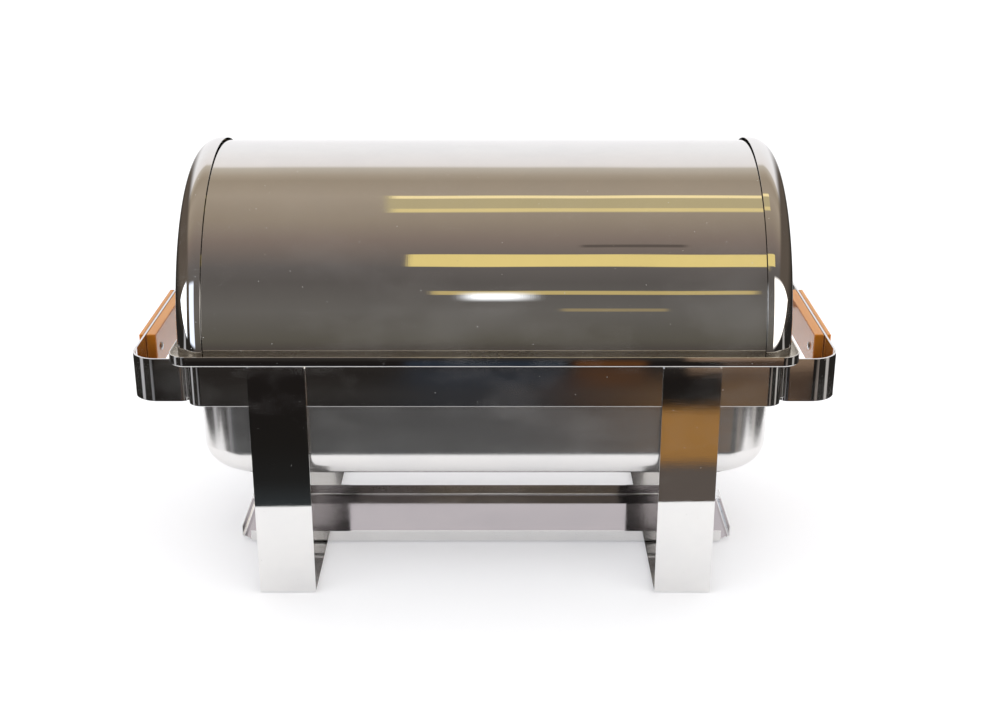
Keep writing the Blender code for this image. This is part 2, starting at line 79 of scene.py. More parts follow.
# Places and sizes read from the frame
CENTRE = Vector((0, middle("band_ring").y, 0))
PIVOT = Vector(next(j for j in frame["joints"] if j["name"] == "door_roll")["pos_m"])
COVER_HALF_X = far_x("end_housing_left")
COVER_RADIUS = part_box("end_housing_left")[1].z - PIVOT.z
LIP_INNER_X = near_x("end_housing_left")
SKIRT = PIVOT.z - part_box("end_housing_left")[0].z
REAR_RADIUS = PIVOT.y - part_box("rear_sheet")[0].y
REAR_HALF_X = half_size("rear_sheet").x
DOOR_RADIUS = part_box("door_sheet")[1].z - PIVOT.z
DOOR_HALF_X = half_size("door_sheet").x
QUADRANT_IN = near_x("door_quadrant_left")
QUADRANT_OUT = far_x("door_quadrant_left")
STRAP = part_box("leg_frame_left")[1].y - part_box("band_ring")[1].y - GAP
GALLERY = half_size("water_pan")
PAD_LOW, PAD_HIGH = (corner.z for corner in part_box("grip_inner_left"))
# Heights over which the amber pads' painted shade fades from dark at the bottom to full colour at the top
PAD_PAINTED_SHADE_LOW, PAD_PAINTED_SHADE_HIGH = PAD_LOW - 0.004, PAD_HIGH + 0.002
HANDLE_OUT_X = far_x("handle_strap_left")
HANDLE_HALF_Y = half_size("handle_strap_left").y

# Sizes that the boxes don't show
SHEET = 0.0008
SHOULDER = 0.022
REAR_EDGE = math.radians(76)
DOOR_FROM = math.radians(-1)
DOOR_TO = math.radians(114)
HUB_RADIUS = 0.0052
HOLE_RADIUS = 0.0028
FOOT_BEND = 0.003
LEG_CORNER = 0.002
BAND_CORNER = 0.015
WELD_BALL = 0.006
WELD_DEPTH = 0.0002
WELD_INSET = 0.012
REAR_WELDS = (0.097, 0.113)
FRONT_WELDS = (0.050, 0.072)
GALLERY_DEPTH = 0.010
GALLERY_CORNER = 0.018
GALLERY_BEND = 0.0015
PAN_WALL = 0.0012
PAN_HALF_X = 0.281
PAN_HALF_Y = 0.160
PAN_CORNER = 0.041
PAN_DRAFT = 0.001
PAN_BOTTOM_BEND = 0.035
FRAME_OPENING_MARGIN = 0.0035
FOOD_RIM_CORNER = 0.056
FOOD_TOP = (0.252, 0.150, 0.044)
FOOD_DRAFT = 0.007
FOOD_WALL = 0.001
FOOD_BEND = 0.018
HANDLE_BEND = 0.026
HANDLE_FOOT_BEND = 0.008
HANDLE_FLANGE = 0.040
HANDLE_END_ROUND = 0.004
SCREW_RADIUS = 0.002
SCREW_HEAD = 0.0014
RIVET_HEAD = 0.001
SLOT_WIDTH = 0.0008
SLOT_TURN = 0.6
PIN_RADIUS = 0.0025
PIN_HEAD = 0.0018
DOOR_FASTENER_RADIUS = 0.004
SCREW_HOLE = 0.0023
DOOR_HANDLE_TILT = math.radians(5)
DOOR_STRAP = 0.0015
DOOR_HANDLE_HALF_X = 0.095
DOOR_HANDLE_REACH = 0.038
DOOR_HANDLE_HALF_HEIGHT = 0.012
DOOR_HANDLE_FLANGE = 0.024
DOOR_HANDLE_BEND = 0.012
DOOR_FOOT_BEND = 0.005
DOOR_GRIP_HALF = 0.055
DOOR_INNER_GRIP = 0.008
OUTER_GRIP = 0.0045
DOOR_SCREW_X = 0.036
DOOR_RIVET_INSET = 0.0155
TRAY_WALL = 0.0012
TRAY_CHAMFER = 0.012
TRAY_BEND = 0.0022
BEND_STEP = math.radians(6)
WAVE_HEIGHT = 0.00012
WAVE_LENGTH = 0.085

MATERIALS = {}


# Meshes

def sweep(sections, closed=False, skip=None):
    """A bmesh skin over closed loops of points, with end caps unless closed."""
    bm = bmesh.new()
    rings = [[bm.verts.new(point) for point in section] for section in sections]
    count = len(rings[0])
    pairs = list(zip(rings, rings[1:]))
    if closed:
        pairs.append((rings[-1], rings[0]))
    for ring, following in pairs:
        for i in range(count):
            if i != skip:
                j = (i + 1) % count
                bm.faces.new((ring[i], ring[j], following[j], following[i]))
    if not closed:
        bm.faces.new(rings[0])
        bm.faces.new(rings[-1])
    return bm


def block(low, high):
    corners = ((low[0], low[1]), (high[0], low[1]), (high[0], high[1]), (low[0], high[1]))
    return sweep([[Vector((x, y, z)) for x, y in corners] for z in (low[2], high[2])])


def arc(centre, radius, start, end, step):
    count = max(1, math.ceil(abs(end - start) / step - 1e-6))
    turns = [start + (end - start) * i / count for i in range(count + 1)]
    return [(centre[0] + radius * math.cos(t), centre[1] + radius * math.sin(t)) for t in turns]


def rounded_path(points, radii):
    """The open polyline with an arc in place of each inner corner."""
    path = [points[0]]
    for before, corner, after, radius in zip(points, points[1:], points[2:], radii):
        here = Vector(corner)
        to_before = (Vector(before) - here).normalized()
        to_after = (Vector(after) - here).normalized()
        half = to_before.angle(to_after) / 2
        centre = here + (to_before + to_after).normalized() * radius / math.sin(half)
        start = here + to_before * radius / math.tan(half) - centre
        end = here + to_after * radius / math.tan(half) - centre
        first = math.atan2(start.y, start.x)
        turn = math.remainder(math.atan2(end.y, end.x) - first, 2 * math.pi)
        path += arc(centre, radius, first, first + turn, BEND_STEP)
    return path + [points[-1]]


def line_normals(line):
    """For each point of a polyline, the offset to one side at unit thickness."""
    offsets = []
    for i, here in enumerate(line):
        ahead = (line[i + 1] - here).normalized() if i + 1 < len(line) else None
        behind = (here - line[i - 1]).normalized() if i else None
        along = ((ahead or behind) + (behind or ahead)).normalized()
        across = Vector((-along.y, along.x))
        straight = ahead or behind
        offsets.append(across / across.dot(Vector((-straight.y, straight.x))))
    return offsets


def rounded_ends(line, radius):
    """Splits a polyline's end stretches and gives each point its inset from the strap's edges."""
    steps = 6
    turns = [math.pi / 2 * i / steps for i in range(steps + 1)]
    start_way = (line[1] - line[0]).normalized()
    end_way = (line[-2] - line[-1]).normalized()
    start = [(line[0] + start_way * radius * (1 - math.cos(t)), radius * (1 - math.sin(t))) for t in turns]
    end = [(line[-1] + end_way * radius * (1 - math.cos(t)), radius * (1 - math.sin(t))) for t in turns]
    inner = [(point, 0.0) for point in line[1:-1]]
    return start + inner + end[::-1]


def strap(path, thickness, low, high, place, end_round=0.0):
    """A bmesh strap whose middle line is the path. place turns (u, v, w) into a point."""
    line = [Vector(point) for point in path]
    marks = rounded_ends(line, end_round) if end_round else [(point, 0.0) for point in line]
    points = [point for point, inset in marks]
    sections = []
    for (here, inset), normal in zip(marks, line_normals(points)):
        offset = normal * thickness / 2
        a, b = here + offset, here - offset
        near, far = low + inset, high - inset
        sections.append([place(*a, near), place(*b, near), place(*b, far), place(*a, far)])
    return sweep(sections)


def wavy_sheet(path, thickness, half_x, columns):
    """A thin sheet bent along the path, with the slight waves that rolled metal has."""
    line = [Vector(point) for point in path]
    stations = [half_x * (2 * i / columns - 1) for i in range(columns + 1)]
    sections = []
    for here, normal in zip(line, line_normals(line)):
        outer, inner = [], []
        for x in stations:
            wave = noise.noise(Vector((x, here.x * 1.5, here.y * 1.5)) / WAVE_LENGTH) * WAVE_HEIGHT
            for skin, way in ((outer, 1), (inner, -1)):
                point = here + normal * (way * thickness / 2 + wave)
                skin.append(Vector((x, point.x, point.y)))
        sections.append(outer + inner[::-1])
    return sweep(sections)


def rounded_rectangle(half_x, half_y, radius, z, steps=14):
    loop = []
    for quarter in range(4):
        sx = 1 if quarter in (0, 3) else -1
        sy = 1 if quarter in (0, 1) else -1
        centre = (sx * (half_x - radius), sy * (half_y - radius))
        start = quarter * math.pi / 2
        corner = arc(centre, radius, start, start + math.pi / 2, math.pi / 2 / steps)
        loop += [Vector((x, y, z)) for x, y in corner]
    return loop


def ring_plate(outer, inner, low, high):
    """A bmesh flat ring. outer and inner are (half_x, half_y, corner)."""
    loops = [rounded_rectangle(*shape, z) for shape, z in
             ((outer, low), (outer, high), (inner, high), (inner, low))]
    return sweep(loops, closed=True)


def turned(axis, stations, sides=40):
    """A bmesh turned about X or Y through the origin, from (place, radius) stations."""
    rings = []
    for place, radius in stations:
        ring = []
        for i in range(sides):
            turn = 2 * math.pi * i / sides
            a, b = radius * math.cos(turn), radius * math.sin(turn)
            ring.append(Vector((place, a, b)) if axis == "X" else Vector((a, place, b)))
        rings.append(ring)
    return sweep(rings)


def make_object(name, bm):
    bmesh.ops.remove_doubles(bm, verts=bm.verts, dist=1e-7)
    bmesh.ops.recalc_face_normals(bm, faces=bm.faces)
    mesh = bpy.data.meshes.new(name)
    bm.to_mesh(mesh)
    bm.free()
    mesh.shade_smooth()
    obj = bpy.data.objects.new(name, mesh)
    bpy.context.scene.collection.objects.link(obj)
    return obj


def settle(obj):
    """Turns the modifiers' result into the object's own mesh."""
    graph = bpy.context.evaluated_depsgraph_get()
    mesh = bpy.data.meshes.new_from_object(obj.evaluated_get(graph), depsgraph=graph)
    mesh.name = obj.name
    obj.modifiers.clear()
    obj.data = mesh


def cut(obj, bm):
    """Takes a shape out of a piece."""
    cutter = make_object("cutter", bm)
    modifier = obj.modifiers.new("cut", "BOOLEAN")
    modifier.object = cutter
    modifier.operation = "DIFFERENCE"
    modifier.solver = "EXACT"
    settle(obj)
    bpy.data.objects.remove(cutter, do_unlink=True)


def join_shape(obj, bm):
    other = make_object("addition", bm)
    modifier = obj.modifiers.new("join", "BOOLEAN")
    modifier.object = other
    modifier.operation = "UNION"
    modifier.solver = "EXACT"
    settle(obj)
    bpy.data.objects.remove(other, do_unlink=True)


def round_edges(obj, width, segments=2):
    """Rounds the sharp edges, as a folded or stamped piece has them."""
    bevel = obj.modifiers.new("edge", "BEVEL")
    bevel.width = width
    bevel.segments = segments
    bevel.limit_method = "ANGLE"
    bevel.angle_limit = math.radians(35)
    bevel.harden_normals = True
    weighted = obj.modifiers.new("shading", "WEIGHTED_NORMAL")
    weighted.keep_sharp = True
    settle(obj)


def add_piece(name, bm, look, body, nodes, place=Vector(), edge=0.0003, segments=2):
    """A finished piece: moved into place, edges rounded, painted, riding and standing for its nodes."""
    bmesh.ops.translate(bm, verts=bm.verts, vec=place)
    obj = make_object(name, bm)
    return finish_piece(obj, look, body, nodes, edge, segments)


def finish_piece(obj, look, body, nodes, edge=0.0003, segments=2):
    if edge:
        round_edges(obj, edge, segments)
    obj.data.materials.clear()
    obj.data.materials.append(MATERIALS[look])
    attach(obj, body)
    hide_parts(*nodes)
    return obj


def drill(obj, axis, low, high, centre, radius):
    hole = turned(axis, ((low, radius), (high, radius)), 24)
    bmesh.ops.translate(hole, verts=hole.verts, vec=centre)
    cut(obj, hole)


# Materials


def add_node(tree, kind, inputs=(), **settings):
    node = tree.nodes.new("ShaderNode" + kind)
    for key, value in settings.items():
        setattr(node, key, value)
    for key, value in dict(inputs).items():
        if isinstance(value, bpy.types.NodeSocket):
            tree.links.new(value, node.inputs[key])
        else:
            node.inputs[key].default_value = value
    return node


def new_material(name):
    material = bpy.data.materials.new(name)
    material.use_nodes = True
    return material, material.node_tree, material.node_tree.nodes["Principled BSDF"]


def stretched(tree, stretch, scale, detail=3.0, roughness=0.6):
    """Noise over the object's own space, stretched by a factor along each axis."""
    place = add_node(tree, "TexCoord").outputs["Object"]
    mapped = add_node(tree, "Mapping", {"Vector": place, "Scale": stretch}).outputs["Vector"]
    inputs = {"Vector": mapped, "Scale": scale, "Detail": detail, "Roughness": roughness}
    return add_node(tree, "TexNoise", inputs).outputs["Fac"]


def spread(tree, value, low, high, to_low, to_high):
    inputs = {"Value": value, "From Min": low, "From Max": high, "To Min": to_low, "To Max": to_high}
    return add_node(tree, "MapRange", inputs).outputs["Result"]


def smooth_spread(tree, value, low, high, to_low=0.0, to_high=1.0):
    inputs = {"Value": value, "From Min": low, "From Max": high, "To Min": to_low, "To Max": to_high}
    return add_node(tree, "MapRange", inputs, interpolation_type="SMOOTHSTEP").outputs["Result"]


def combine(tree, operation, a, b):
    return add_node(tree, "Math", {0: a, 1: b}, operation=operation).outputs["Value"]


def dust(tree, size):
    """1 on sparse specks, 0 elsewhere."""
    place = add_node(tree, "TexCoord").outputs["Object"]
    cells = add_node(tree, "TexVoronoi", {"Vector": place, "Scale": size, "Randomness": 1.0})
    chosen = add_node(tree, "SeparateColor", {"Color": cells.outputs["Color"]}).outputs["Red"]
    near = spread(tree, cells.outputs["Distance"], 0.04, 0.09, 1.0, 0.0)
    rare = spread(tree, chosen, 0.66, 1.0, 0.0, 1.0)
    return combine(tree, "MULTIPLY", near, rare)


def edge_wear(tree):
    """1 on the rounded edges, where handling has scuffed the polish."""
    tip = add_node(tree, "NewGeometry").outputs["Pointiness"]
    return spread(tree, tip, 0.52, 0.60, 0.0, 1.0)


def steel_material(name, colour, smooth, rough, grain, scratch_depth, speck_amount, bare=1.0):
    """Bare steel: smudges and wipe marks vary the gloss, fine scratches run along the grain."""
    material, tree, shader = new_material(name)
    smudge = stretched(tree, (1.0, 1.0, 1.0), 14.0, 6.0, 0.65)
    wipe = stretched(tree, (2.0, 9.0, 9.0), 6.0, 4.0, 0.6)
    worn = combine(tree, "MULTIPLY", smudge, wipe)
    gloss = spread(tree, worn, 0.18, 0.42, smooth, rough)
    specks = combine(tree, "MULTIPLY", dust(tree, 170.0), speck_amount)
    wear = combine(tree, "MULTIPLY", edge_wear(tree), 0.12)
    rubbed = combine(tree, "ADD", gloss, wear)
    tree.links.new(combine(tree, "ADD", rubbed, specks), shader.inputs["Roughness"])
    tint = add_node(tree, "MixRGB", {0: spread(tree, smudge, 0.35, 0.7, 0.0, 1.0), 1: (*colour, 1),
                                     2: (colour[0] * 0.95, colour[1] * 0.955, colour[2] * 0.965, 1)})
    dusty = add_node(tree, "MixRGB", {0: specks, 1: tint.outputs[0], 2: (0.80, 0.79, 0.77, 1)})
    tree.links.new(dusty.outputs[0], shader.inputs["Base Color"])
    film = spread(tree, stretched(tree, (1.0, 1.6, 1.6), 9.0, 5.0, 0.6), 0.50, 0.78, 0.0, 0.07)
    cover = combine(tree, "ADD", specks, film)
    tree.links.new(combine(tree, "SUBTRACT", bare, cover), shader.inputs["Metallic"])
    lines = stretched(tree, grain, 1.0, 2.0, 0.5)
    bump = add_node(tree, "Bump", {"Height": lines, "Strength": scratch_depth, "Distance": 0.0001})
    tree.links.new(bump.outputs["Normal"], shader.inputs["Normal"])
    return material


def amber_material():
    """Glossy clear amber plastic, with painted light and shade: the faces towards the ends are painted
    darker, darkest at the bottom, and the faces towards the sides are painted a pink peach for the light on
    them.
    """
    material, tree, shader = new_material("amber_plastic")
    streak = stretched(tree, (60.0, 4.0, 22.0), 1.6, 4.0, 0.6)
    colour = add_node(tree, "MixRGB", {0: spread(tree, streak, 0.3, 0.7, 0.0, 1.0),
                                       1: (0.82, 0.34, 0.045, 1), 2: (0.72, 0.26, 0.02, 1)})
    height = add_node(tree, "SeparateXYZ", {0: add_node(tree, "TexCoord").outputs["Object"]}).outputs["Z"]
    # Painted shade: darker towards the bottom of the pads
    painted_light_mask = smooth_spread(tree, height, PAD_PAINTED_SHADE_LOW, PAD_PAINTED_SHADE_HIGH)
    facing = add_node(tree, "SeparateXYZ", {0: add_node(tree, "TexCoord").outputs["Normal"]})
    to_side = combine(tree, "ABSOLUTE", facing.outputs["X"], 0.0)
    to_end = combine(tree, "ABSOLUTE", facing.outputs["Y"], 0.0)
    painted_shade_below = add_node(tree, "MixRGB", {0: painted_light_mask, 1: (0.075, 0.016, 0.001, 1), 2: colour.outputs[0]})
    # Painted shade on the faces towards the ends, mostly a deep brown
    painted_end_shade = add_node(tree, "MixRGB", {0: 0.62, 1: painted_shade_below.outputs[0], 2: (0.26, 0.062, 0.002, 1)})
    ends = add_node(tree, "MixRGB", {0: to_end, 1: colour.outputs[0], 2: painted_end_shade.outputs[0]})
    # Painted light: the faces towards the sides turn a pink peach
    lit = add_node(tree, "MixRGB", {0: to_side, 1: ends.outputs[0], 2: (0.80, 0.31, 0.10, 1)})
    tree.links.new(lit.outputs[0], shader.inputs["Base Color"])
    smudge = stretched(tree, (1.0, 1.0, 1.0), 60.0, 5.0, 0.6)
    wear = combine(tree, "MULTIPLY", edge_wear(tree), 0.2)
    gloss = combine(tree, "ADD", spread(tree, smudge, 0.35, 0.7, 0.08, 0.2), wear)
    tree.links.new(gloss, shader.inputs["Roughness"])
    shader.inputs["Specular IOR Level"].default_value = 0.28
    shader.inputs["Coat Weight"].default_value = 0.05
    shader.inputs["Coat Roughness"].default_value = 0.06
    bump = add_node(tree, "Bump", {"Height": smudge, "Strength": 0.06, "Distance": 0.0003})
    tree.links.new(bump.outputs["Normal"], shader.inputs["Normal"])
    return material


def rubber_material():
    material, tree, shader = new_material("black_rubber")
    grain = stretched(tree, (1.0, 1.0, 1.0), 900.0, 3.0, 0.6)
    dusting = stretched(tree, (1.0, 1.0, 1.0), 70.0, 5.0, 0.6)
    colour = add_node(tree, "MixRGB", {0: spread(tree, dusting, 0.4, 0.75, 0.0, 1.0),
                                       1: (0.012, 0.012, 0.012, 1), 2: (0.05, 0.048, 0.045, 1)})
    tree.links.new(colour.outputs[0], shader.inputs["Base Color"])
    tree.links.new(spread(tree, dusting, 0.3, 0.7, 0.5, 0.75), shader.inputs["Roughness"])
    bump = add_node(tree, "Bump", {"Height": grain, "Strength": 0.4, "Distance": 0.0002})
    tree.links.new(bump.outputs["Normal"], shader.inputs["Normal"])
    return material


def make_materials():
    bright = (0.80, 0.79, 0.775)
    along = (30.0, 2600.0, 2600.0)
    brushed = (5.0, 260.0, 260.0)
    MATERIALS["mirror"] = steel_material("polished_steel", bright, 0.008, 0.03, along, 0.02, 0.35)
    MATERIALS["mirror_sheet"] = steel_material(
        "polished_sheet", bright, 0.012, 0.045, (1300.0, 40.0, 40.0), 0.015, 0.5)
    MATERIALS["satin"] = steel_material(
        "satin_steel", (0.74, 0.73, 0.715), 0.24, 0.29, brushed, 0.2, 0.1, 0.96)
    MATERIALS["satin_dark"] = steel_material(
        "drawn_steel", (0.80, 0.785, 0.77), 0.17, 0.22, brushed, 0.2, 0.1, 0.95)
    # A cream-tinted, less metallic copy of the steel: a painted warm reflection for the water pan's inward
    # and upward lip faces
    MATERIALS["channel"] = steel_material(
        "channel_steel_painted_reflection", (0.85, 0.81, 0.74), 0.22, 0.3, brushed, 0.1, 0.1, 0.78)
    # A darker, lilac-grey copy of the polished steel, put only on the tray floor's upper faces
    MATERIALS["tray_floor"] = steel_material(
        "darker_tray_floor_steel", (0.44, 0.405, 0.415), 0.05, 0.12, along, 0.06, 0.2)
    MATERIALS["fastener"] = steel_material(
        "fastener_steel", (0.66, 0.66, 0.65), 0.16, 0.34, (900.0, 900.0, 900.0), 0.3, 0.1)
    MATERIALS["amber"] = amber_material()
    MATERIALS["rubber"] = rubber_material()


# Stand

def at_side(side):
    """Places (x, y, z) on the left (-1) or right (1) side of the dish."""
    return lambda x, y, z: Vector((side * x, y, z))


def make_band():
    size = half_size("band_ring")
    low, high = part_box("band_ring")
    outer = (size.x, size.y, BAND_CORNER)
    inner = tuple(value - STRAP for value in outer)
    band = make_object("support_band", ring_plate(outer, inner, low.z, high.z))
    band.data.transform(Matrix.Translation(CENTRE))
    for side_name, side in SIDES:
        for place in handle_rivet_places(side_name):
            drill(band, "X", side * (size.x - 3 * STRAP), side * (size.x + STRAP), place, SCREW_HOLE)
    finish_piece(band, "mirror", "stand", ["band_ring"], 0.0005, 3)


def handle_rivet_places(side_name):
    """The middle of each of the four rivets of one side handle, with X on the middle plane."""
    names = [f"handle_rivet_{side_name}_{end}_{level}" for end, way in ENDS for level in ("upper", "lower")]
    places = [middle(name) for name in names]
    return [Vector((0, place.y, place.z)) for place in places]


def make_legs():
    for side_name, side in SIDES:
        node = "leg_frame_" + side_name
        low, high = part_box(node)
        reach = half_size(node).y - STRAP / 2
        corners = [(-reach, high.z), (-reach, STRAP / 2), (reach, STRAP / 2), (reach, high.z)]
        path = rounded_path(corners, [FOOT_BEND] * 2)
        bm = strap(path, STRAP, low.x, high.x, lambda y, z, x: Vector((x, y, z)), LEG_CORNER)
        bmesh.ops.translate(bm, verts=bm.verts, vec=CENTRE)
        leg = make_object("leg_" + side_name, bm)
        for x, y, z, way in weld_marks(side, low, high):
            cut(leg, weld_dimple(Vector((x, y, z)), way))
        finish_piece(leg, "mirror", "stand", [node], 0.0006, 3)


def weld_marks(side, low, high):
    """Where the legs carry spot-weld marks: (x, y, z, way the face looks)."""
    inner_x = min(low.x, high.x, key=abs) + side * WELD_INSET
    marks = [(inner_x, high.y - STRAP, z, -1) for z in REAR_WELDS]
    if side < 0:
        marks += [((low.x + high.x) / 2, low.y, z, -1) for z in FRONT_WELDS]
    return marks


def weld_dimple(centre, way):
    """A shallow lens to take out of a face at right angles to Y."""
    rise = WELD_BALL - WELD_DEPTH
    stations = []
    steps = 12
    for i in range(1, steps):
        turn = math.pi * i / steps
        stations.append((way * rise - WELD_BALL * math.cos(turn), WELD_BALL * math.sin(turn)))
    bm = turned("Y", stations, 32)
    bmesh.ops.translate(bm, verts=bm.verts, vec=centre)
    return bm


def make_side_handles():
    for side_name, side in SIDES:
        node = "handle_strap_" + side_name
        low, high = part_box(node)
        foot_x = near_x(node) + STRAP / 2
        out_x = HANDLE_OUT_X - STRAP / 2
        run_y = HANDLE_HALF_Y - STRAP / 2
        flange_y = HANDLE_HALF_Y - HANDLE_FLANGE
        corners = [(foot_x, -flange_y), (foot_x, -run_y), (out_x, -run_y),
                   (out_x, run_y), (foot_x, run_y), (foot_x, flange_y)]
        bends = [HANDLE_FOOT_BEND, HANDLE_BEND, HANDLE_BEND, HANDLE_FOOT_BEND]
        bm = strap(rounded_path(corners, bends), STRAP, low.z, high.z, at_side(side), HANDLE_END_ROUND)
        handle = make_object("carry_handle_" + side_name, bm)
        handle.data.transform(Matrix.Translation(CENTRE))
        for place in handle_rivet_places(side_name):
            drill(handle, "X", side * (near_x(node) - STRAP), side * (near_x(node) + 2 * STRAP),
                  place, SCREW_HOLE)
        for end_name, end in ENDS:
            place = middle(f"grip_screw_{side_name}_{end_name}")
            place.x = 0
            drill(handle, "X", side * (HANDLE_OUT_X - 2 * STRAP), side * (HANDLE_OUT_X + STRAP),
                  place, SCREW_HOLE)
        finish_piece(handle, "mirror", "stand", [node])
        make_side_grips(side_name)


def make_side_grips(side_name):
    for layer in ("inner", "outer"):
        node = f"grip_{layer}_{side_name}"
        low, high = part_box(node)
        grip = make_object(f"handle_pad_{layer}_{side_name}", block(low, high))
        for end_name, end in ENDS:
            place = middle(f"grip_screw_{side_name}_{end_name}")
            place.x = 0
            drill(grip, "X", low.x - STRAP, high.x + STRAP, place, SCREW_HOLE)
        finish_piece(grip, "amber", "stand", [node], 0.001, 3)


def domed_head(start, way, radius, height):
    """Stations of a domed head, from its rim outwards."""
    stations = [(start, SCREW_RADIUS), (start, radius * 0.97), (start + way * height * 0.08, radius)]
    steps = 7
    for i in range(1, steps):
        turn = math.pi / 2 * i / steps
        rise = height * (0.3 + 0.7 * math.sin(turn))
        stations.append((start + way * rise, radius * math.cos(turn) ** 0.8))
    stations.append((start + way * height, radius * 0.06))
    return stations


def two_headed(axis, first, last, radius, head):
    """A bmesh screw or rivet with a domed head at each end, turned about the axis."""
    left = domed_head(first + head, -1, radius, head)
    right = domed_head(last - head, 1, radius, head)
    return turned(axis, left[::-1] + right)


def make_x_fasteners():
    """Screws through the side grips and rivets through the handle flanges."""
    names = [f"grip_screw_{side}_{end}" for side, way in SIDES for end, sign in ENDS]
    names += [f"handle_rivet_{side}_{end}_{level}" for side, way in SIDES
              for end, sign in ENDS for level in ("upper", "lower")]
    for node in names:
        low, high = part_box(node)
        radius = half_size(node).z
        head = SCREW_HEAD if "screw" in node else RIVET_HEAD
        bm = two_headed("X", low.x, high.x, radius, head)
        centre = middle(node)
        centre.x = 0
        bmesh.ops.translate(bm, verts=bm.verts, vec=centre)
        obj = make_object(node + "_piece", bm)
        if "screw" in node:
            cut(obj, screw_slot(max(low.x, high.x, key=abs), radius, centre))
        finish_piece(obj, "fastener", "stand", [node], 0.00008, 1)


def screw_slot(end_x, radius, centre):
    """The slot to take out of a side grip screw's outer head."""
    depth, reach, half = SCREW_HEAD * 0.5, radius * 1.2, SLOT_WIDTH / 2
    slot = block((end_x - depth, -reach, -half), (end_x + depth, reach, half))
    bmesh.ops.rotate(slot, verts=slot.verts, cent=Vector(), matrix=Matrix.Rotation(SLOT_TURN, 3, "X"))
    bmesh.ops.translate(slot, verts=slot.verts, vec=centre)
    return slot


# Water pan and food pan

def make_water_pan():
    """Lip, ledge, walls and bottom of one drawn sheet, as loops from inside bottom to outside."""
    low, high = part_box("water_pan")
    under = high.z - GALLERY_DEPTH
    outer, inner = [], []
    for inset, skin in ((0, outer), (PAN_WALL, inner)):
        bend = PAN_BOTTOM_BEND - inset
        low_x, low_y = PAN_HALF_X - PAN_DRAFT - inset, PAN_HALF_Y - PAN_DRAFT - inset
        centre_z = low.z + PAN_BOTTOM_BEND
        for across, down in arc((-bend, 0), bend, -math.pi / 2, 0, BEND_STEP):
            shape = (low_x + across, low_y + across, PAN_CORNER - inset + across * 0.2)
            skin.append(rounded_rectangle(*shape, centre_z + down))
        shape = (PAN_HALF_X - inset, PAN_HALF_Y - inset, PAN_CORNER - inset)
        skin.append(rounded_rectangle(*shape, under + inset))
    lip_out = (GALLERY.x, GALLERY.y, GALLERY_CORNER)
    lip_in = [size - PAN_WALL for size in lip_out]
    inner.append(rounded_rectangle(*lip_in, under + PAN_WALL))
    inner.append(rounded_rectangle(*lip_in, high.z))
    for across, down in arc((-GALLERY_BEND, GALLERY_BEND), GALLERY_BEND, -math.pi / 2, 0, BEND_STEP * 3):
        shape = [size + across for size in lip_out]
        outer.append(rounded_rectangle(*shape, under + down))
    outer.append(rounded_rectangle(*lip_out, high.z))
    pan = add_piece("water_basin", sweep(inner + outer[::-1]), "satin_dark", "basin", ["water_pan"], CENTRE)
    pan.data.materials.append(MATERIALS["mirror"])
    pan.data.materials.append(MATERIALS["channel"])
    # Painted warm reflection: above the ledge, inward and upward faces take the cream copy of the steel,
    # outward and downward faces the mirror
    for face in pan.data.polygons:
        outwards = (face.center - CENTRE).xy.dot(face.normal.xy) > 0
        if face.center.z > under - GAP:
            face.material_index = 1 if outwards or face.normal.z < 0 else 2


def make_food_pan():
    low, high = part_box("food_pan")
    rim = half_size("food_pan")
    outer, inner = [], []
    for inset, skin in ((0, outer), (FOOD_WALL, inner)):
        bend = FOOD_BEND - inset
        low_x, low_y = FOOD_TOP[0] - FOOD_DRAFT - inset, FOOD_TOP[1] - FOOD_DRAFT - inset
        centre_z = low.z + FOOD_BEND
        for across, down in arc((-bend, 0), bend, -math.pi / 2, 0, BEND_STEP * 2):
            corner = FOOD_TOP[2] - inset + across * 0.3
            skin.append(rounded_rectangle(low_x + across, low_y + across, corner, centre_z + down))
        shape = [size - inset for size in FOOD_TOP]
        skin.append(rounded_rectangle(*shape, high.z - FOOD_WALL + inset))
    shape = (rim.x, rim.y, FOOD_RIM_CORNER)
    inner.append(rounded_rectangle(*shape, high.z))
    outer.append(rounded_rectangle(*shape, high.z - FOOD_WALL))
    add_piece("serving_pan", sweep(inner + outer[::-1]), "satin", "insert_pan", ["food_pan"], CENTRE)


def make_cover_frame():
    low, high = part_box("cover_frame")
    opening = [size + FRAME_OPENING_MARGIN for size in FOOD_TOP]
    bm = ring_plate((COVER_HALF_X, COVER_RADIUS, SHOULDER), opening, low.z, high.z)
    add_piece("dish_frame", bm, "satin", "cover", ["cover_frame"], CENTRE)


# Cover

